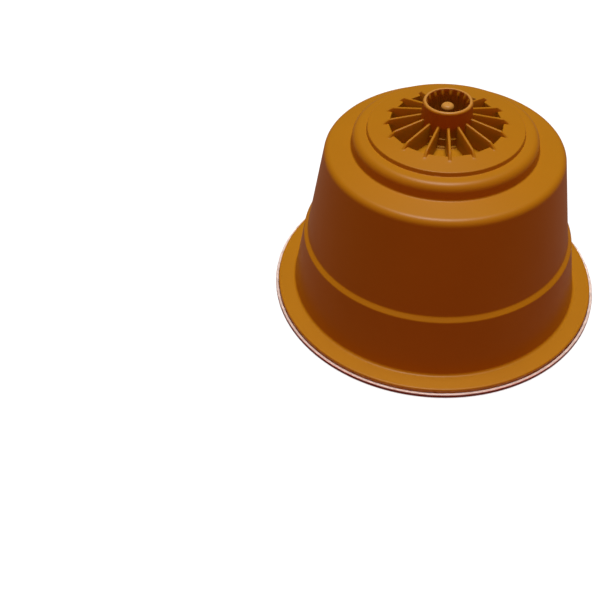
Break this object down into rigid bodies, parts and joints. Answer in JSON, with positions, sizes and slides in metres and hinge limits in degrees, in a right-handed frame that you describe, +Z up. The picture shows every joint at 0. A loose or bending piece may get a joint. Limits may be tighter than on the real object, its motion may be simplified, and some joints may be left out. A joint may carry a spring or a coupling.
{
  "type": "coffee pod",
  "caption": "Round moulded coffee pod resting upside down on its sealed foil lid, with a stepped crown, a finned pocket and a fluted outlet nozzle.",
  "frame": {"origin": "centre of the foil lid's underside, on the surface that the pod stands on", "axes": "+Z up along the pod's axis towards the outlet nozzle, -Y along one of the fins"},
  "size_m": [0.054, 0.054, 0.0349],
  "materials": {
    "cup": "satin",
    "foil_lid": "satin"
  },
  "bodies": {
    "root": {"cup": "cup", "foil_lid": "foil_lid"}
  },
  "joints": []
}
